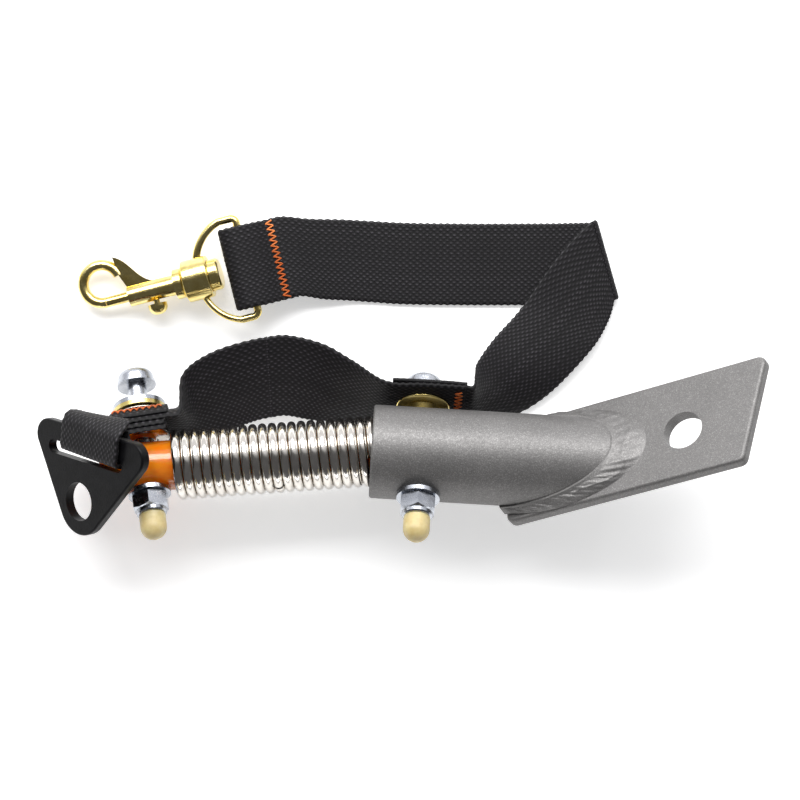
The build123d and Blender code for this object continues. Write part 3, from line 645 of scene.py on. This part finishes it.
def stitches(name, matrix, start, end, half_width, turns, node, body):
    """Zigzag thread on a frame's XY plane; each stitch arches over and dives at its ends."""
    count = 2 * turns
    start, end = np.array(start, float), np.array(end, float)
    run_way = unit(end - start)
    aside = np.array([-run_way[1], run_way[0], 0])
    path = []
    for i in range(count):
        first = start + (end - start) * i / count + aside * half_width * (1 if i % 2 else -1)
        second = start + (end - start) * (i + 1) / count + aside * half_width * (-1 if i % 2 else 1)
        for u in np.linspace(0, 1, 10, endpoint=False):
            arch = 0.32 * math.sin(math.pi * u) ** 0.5 - 0.25
            path.append(first + (second - first) * u + np.array([0, 0, arch]))
    path = np.array(path) + dice.normal(0, 0.015, (len(path), 3))
    swell = THREAD_R * (1 + 0.1 * np.sin(np.arange(len(path)) * 1.9))
    obj = made_of(pipe(name, out_of(matrix, path), swell, 10), "orange_thread", node)
    values = 0.5 + 0.5 * np.sin(np.arange(len(obj.data.vertices)) * 0.63)
    obj.data.attributes.new("yarn", "FLOAT", "POINT").data.foreach_set("value", values.astype(np.float32))
    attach(obj, body)
    return obj


stitches(
    "thread_at_hook",
    LOOP @ place((0, 0, 1.62)),
    (9.5, -12, 0),
    (9.5, 12, 0),
    1.1,
    14,
    "hook_stitches",
    "strap_run",
)
stitches(
    "thread_at_tube",
    facing((TUBE_BOLT @ Vector((10.5, 16.2, 0))), column(HITCH, 0), -HITCH.col[1].xyz),
    (0, -10, 0),
    (0, 10, 0),
    1.1,
    10,
    "tube_stitches",
    "hitch",
)
stitches(
    "thread_at_rod",
    facing(
        ARM_BOLT @ Vector((0, 14.75, 9.9)),
        column(ARM_BOLT, 0),
        ARM_BOLT.col[1].xyz + ARM_BOLT.col[2].xyz * 0.85,
    ),
    (-7.5, 0, 0),
    (7.5, 0, 0),
    1.1,
    8,
    "arm_stitches",
    "arm_end",
)

# ---------------------------------------------------------------- spring and rod
SPRING_SIDES = 20


def coil(name, start, end):
    """The part of the close-wound spring between two places along the arm."""
    samples = 40 * (end - start) / SPRING_PITCH
    x = np.linspace(start, end, int(samples))
    turn = 2 * math.pi * (x - SPRING_LEFT) / SPRING_PITCH + SPRING_START
    outward = np.column_stack([np.zeros_like(x), np.cos(turn), np.sin(turn)])
    round_way = np.column_stack([np.zeros_like(x), -np.sin(turn), np.cos(turn)])
    way = unit(round_way * SPRING_R * 2 * math.pi / SPRING_PITCH + np.array([1.0, 0, 0]))
    beside = np.cross(way, outward)
    centre = outward * SPRING_R + np.column_stack([x, 0 * x, 0 * x])
    angle = np.linspace(0, 2 * math.pi, SPRING_SIDES, endpoint=False)
    ring = outward[:, None] * np.cos(angle)[:, None] + beside[:, None] * np.sin(angle)[:, None]
    local = centre[:, None] + SPRING_WIRE_R * ring
    return made_of(skin(name, out_of(ARM, local)), "nickel")


spring_near = coil("spring_near", SPLIT_AT, SPRING_RIGHT - SPRING_WIRE_R)
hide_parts("coil_spring")
spring_far = coil("spring_far", SPRING_LEFT, SPLIT_AT + 0.02)

rod_steps = np.linspace(ROD_LEFT, SPLIT_AT, 160)
rod_end = np.clip((rod_steps - ROD_LEFT) / ROD_EDGE, 0, 1)
rod_radii = ROD_R - ROD_EDGE * (1 - np.sqrt(1 - (1 - rod_end) ** 2))
rod_far = made_of(
    pipe("rod_far", at(ARM, *[(x, 0, 0) for x in rod_steps]), rod_radii, 64), "orange_urethane", "flex_rod"
)
near_line = [(x, 0, 0) for x in (SPLIT_AT, -20, -12, -4)]
rod_points = [*at(ARM, *near_line), *at(HITCH, (4, 0, 0), (14, 0, 0), (ROD_RIGHT, 0, 0))]
near_path, _ = smooth_line(rod_points, 1.0)
rod_near = made_of(pipe("rod_near", near_path, ROD_R, 64), "orange_urethane")

# ---------------------------------------------------------------- weld
WELD_LONG = TUBE_R / math.sin(math.radians(PLATE_SLANT))
WELD_RISE = 3.4
WELD_RIPPLE = 1.75
WELD_END = 111.0
WELD_REACH = 4.7
WELD_SIDE_REACH = 2.5
WELD_TOE = 0.3
WELD_SIDE_TOE = 0.35
WELD_SWELL = 0.4
WELD_RIPPLE_RISE = 0.05
WELD_THICKNESS = 0.9


def weld_bead():
    """Rippled weld round the tube's slanted foot, over the plain collar."""
    theta = np.radians(np.linspace(-WELD_END, WELD_END, 900))[:, None]
    v = np.linspace(0, 1, 31)[None, :]
    outer_long = (WELD_LONG + WELD_REACH) * np.cos(theta)
    outer_side = (TUBE_R + WELD_SIDE_REACH) * np.sin(theta)
    outer = np.stack([outer_long, outer_side, 0 * theta], -1)
    shift = -WELD_RISE / math.tan(math.radians(PLATE_SLANT))
    inner_long = (WELD_LONG + WELD_TOE) * np.cos(theta) + shift
    inner_side = (TUBE_R + WELD_SIDE_TOE) * np.sin(theta)
    inner = np.stack([inner_long, inner_side, 0 * theta + WELD_RISE], -1)
    step = np.linalg.norm(np.diff(outer[:, 0], axis=0), axis=1)
    run_length = np.concatenate([[0], np.cumsum(step)])[:, None]
    phase = run_length / WELD_RIPPLE + 0.5 * (2 * v - 1) ** 2
    phase = phase + 0.25 * np.sin(run_length * 0.37) + 0.12 * np.sin(run_length * 1.13)
    ripple = np.abs(np.cos(math.pi * phase)) ** 0.7
    patchy = np.clip(0.5 + 0.8 * np.sin(run_length * 0.23 + 1.1) + 0.5 * np.sin(run_length * 0.61), 0, 1)
    blobs = 0.12 * np.sin(run_length * 0.61 + 3 * v) + 0.07 * np.sin(run_length * 1.9 + 7 * v)
    ridge = 0.16 * np.exp(-(((v - 0.45 - 0.2 * np.sin(run_length * 0.3)) / 0.07) ** 2))
    swell = np.sin(math.pi * v) * (WELD_SWELL + WELD_RIPPLE_RISE * ripple * patchy + blobs + ridge)
    surface = outer + (inner - outer) * v[..., None]
    out = np.stack([np.cos(theta) * 0.45, np.sin(theta) * 0.75, 0 * theta + 0.62], -1)
    surface = surface + unit(out) * (swell - 0.12)[..., None]
    depth = np.sin(math.pi * v[:, ::-1] * 0.96 + 0.06)[..., None]
    under = surface[:, ::-1] - unit(out) * WELD_THICKNESS * depth
    local = np.concatenate([surface, under], axis=1)
    return made_of(skin("weld_ripples", out_of(PLATE, local)), "grey_coat")


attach(weld_bead(), "hitch")

# ---------------------------------------------------------------- nuts and grommets
NUT_SIDES = 120


def hex_nut(name, matrix, level, node, body):
    """A chamfered lock nut about a frame's Y direction, its flat face at level and its collar below."""
    turn = np.linspace(0, 2 * math.pi, NUT_SIDES, endpoint=False)
    sector = (turn + math.pi / 6) % (math.pi / 3) - math.pi / 6
    flats = NUT_FLATS / 2 / np.cos(sector)
    corner = (flats - NUT_FLATS / 2) * 0.58 + 0.12
    circle = np.full(NUT_SIDES, NUT_FLATS / 2 - 0.2)
    shoulder = -NUT_HEIGHT
    end = shoulder - NUT_COLLAR
    outline = [
        (np.full(NUT_SIDES, SHANK_R), 0.0),
        (circle, 0.0),
        (flats, -corner),
        (flats, shoulder + corner),
        (circle, shoulder),
        (np.full(NUT_SIDES, NUT_COLLAR_R), shoulder - 0.1),
        (np.full(NUT_SIDES, NUT_COLLAR_R), end + 0.5),
        (np.full(NUT_SIDES, NUT_COLLAR_R - 0.35), end + 0.1),
        (np.full(NUT_SIDES, NUT_COLLAR_R - 0.8), end),
        (np.full(NUT_SIDES, SHANK_R + 0.9), end + 0.25),
        (np.full(NUT_SIDES, SHANK_R), end + 0.5),
    ]
    rows = []
    for radius, height in outline:
        rows.append(np.stack([radius * np.cos(turn), level + height + 0 * turn, radius * np.sin(turn)], -1))
    local = np.array(rows + rows[:1])
    obj = made_of(skin(name, out_of(matrix, local), caps=False), "zinc", node)
    weld_seam(obj)
    obj.data.set_sharp_from_angle(angle=math.radians(28))
    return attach(obj, body)


hex_nut("tube_nut_chamfered", TUBE_BOLT, -15.4, "tube_locknut", "hitch")
hex_nut("rod_nut_chamfered", ARM_BOLT, -9.5, "arm_locknut", "arm_end")


def grommet(name, matrix, foot, low, high, slot_name, node, body):
    """A pressed grommet: a barrel with a rolled rim above and a flat one below."""
    rolled = [
        (GROMMET_BORE, foot),
        (GROMMET_BORE, high - 0.4),
        (GROMMET_BORE + 0.25, high + 0.45),
        (GROMMET_BORE + 0.9, high + 0.85),
        (GROMMET_BORE + 2.0, high + 0.95),
        (GROMMET_R - 1.7, high + 0.7),
        (GROMMET_R - 0.6, high + 0.4),
        (GROMMET_R - 0.1, high + 0.05),
        (GROMMET_R, high - 0.3),
        (GROMMET_R - 0.3, high - 0.15),
        (GROMMET_BARREL_R + 0.5, high),
        (GROMMET_BARREL_R, high - 0.3),
        (GROMMET_BARREL_R, low + 0.3),
        (GROMMET_BARREL_R + 0.5, low),
        (GROMMET_R - 0.3, low + 0.15),
        (GROMMET_R, low + 0.2),
        (GROMMET_R, low - 0.3),
        (GROMMET_R - 0.6, low - 0.7),
        (GROMMET_BARREL_R + 1.2, low - 0.85),
        (GROMMET_BARREL_R, low - 0.6),
        (GROMMET_BARREL_R - 0.2, foot),
    ]
    obj = made_of(lathe(name, matrix, rolled), slot_name, node)
    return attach(obj, body)


grommet("tube_grommet_rolled", TUBE_BOLT, 14.1, 16.2, 19.5, "brass_plate", "tube_grommet", "hitch")
grommet("rod_grommet_rolled", ARM_BOLT, 8.1, 9.5, 16.5, "nickel", "arm_grommet", "arm_end")


for piece in (spring_near, rod_near, bridge_near):
    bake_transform(piece)
for piece in (spring_far, rod_far, bridge_far):
    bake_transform(piece)
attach(patch, "hitch")
for piece in (loop_front, loop_back):
    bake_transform(piece)
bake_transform(tail)
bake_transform(run)
strap_sheet(bridge_near)
strap_sheet(bridge_far)
strap_sheet(patch)
strap_sheet(loop_front)
strap_sheet(loop_back)
strap_sheet(tail)
strap_sheet(run)

# ---------------------------------------------------------------- floor, light and camera
CAMERA_HEIGHT = 0.7
VIEW_CENTRE = (0.001, -0.0073)
LENS = 102.3

floor_mesh = bpy.data.meshes.new("floor")
floor_mesh.from_pydata([(-3, -3, 0), (3, -3, 0), (3, 3, 0), (-3, 3, 0)], [], [(0, 1, 2, 3)])
floor = bpy.data.objects.new("floor", floor_mesh)
bpy.context.scene.collection.objects.link(floor)
floor_finish, add_floor, to_floor, here_floor = finish_of(
    "pale_floor",
    Roughness=0.7,
    Specular_IOR_Level=0.2,
    Emission_Color=(1, 1, 1, 1),
    Emission_Strength=0.5,
)
floor_stops = [(0.3, (0.87, 0.87, 0.865)), (0.7, (0.9, 0.9, 0.895))]
to_floor("Base Color", ramp(add_floor, noise(add_floor, here_floor, 20.0), floor_stops))
floor.data.materials.append(floor_finish)


def soft_box(name, spot, size, power, tint=(1, 1, 1)):
    """A square light that faces the object."""
    data = bpy.data.lights.new(name, "AREA")
    data.shape = "RECTANGLE"
    data.size, data.size_y = size
    data.energy = power
    data.color = tint
    lamp = bpy.data.objects.new(name, data)
    lamp.location = spot
    lamp.rotation_euler = (-Vector(spot)).to_track_quat("-Z", "Y").to_euler()
    bpy.context.scene.collection.objects.link(lamp)


soft_box("key", (-0.1, 0.75, 0.8), (1.3, 0.5), 17.0)
soft_box("low_fill", (0.1, -1.0, 0.22), (1.4, 0.18), 2.5)

# A sky that is dark towards -Y and overhead, and bright towards +Y
SKY_GREYS = ((0.0, 0.1), (0.18, 0.12), (0.42, 0.95), (1.0, 1.0))
studio = bpy.data.worlds.new("studio")
bpy.context.scene.world = studio
studio.use_nodes = True
sky_nodes = studio.node_tree.nodes
sky_links = studio.node_tree.links
background = sky_nodes["Background"]
sky_way = sky_nodes.new("ShaderNodeTexCoord")
sky_split = sky_nodes.new("ShaderNodeSeparateXYZ")
sky_ramp = sky_nodes.new("ShaderNodeValToRGB")
sky_links.new(sky_way.outputs["Generated"], sky_split.inputs["Vector"])
sky_links.new(sky_split.outputs["Y"], sky_ramp.inputs["Fac"])
sky_links.new(sky_ramp.outputs["Color"], background.inputs["Color"])
fill_ramp(sky_ramp, [(position, (grey, grey, grey * 1.03)) for position, grey in SKY_GREYS])
background.inputs["Strength"].default_value = 1.0

camera_data = bpy.data.cameras.new("camera")
camera_data.lens = LENS
camera_data.sensor_width = 36.0
camera_data.clip_start = 0.01
camera = bpy.data.objects.new("camera", camera_data)
camera.location = (*VIEW_CENTRE, CAMERA_HEIGHT)
bpy.context.scene.collection.objects.link(camera)
bpy.context.scene.camera = camera
bpy.context.scene.view_settings.view_transform = "Standard"
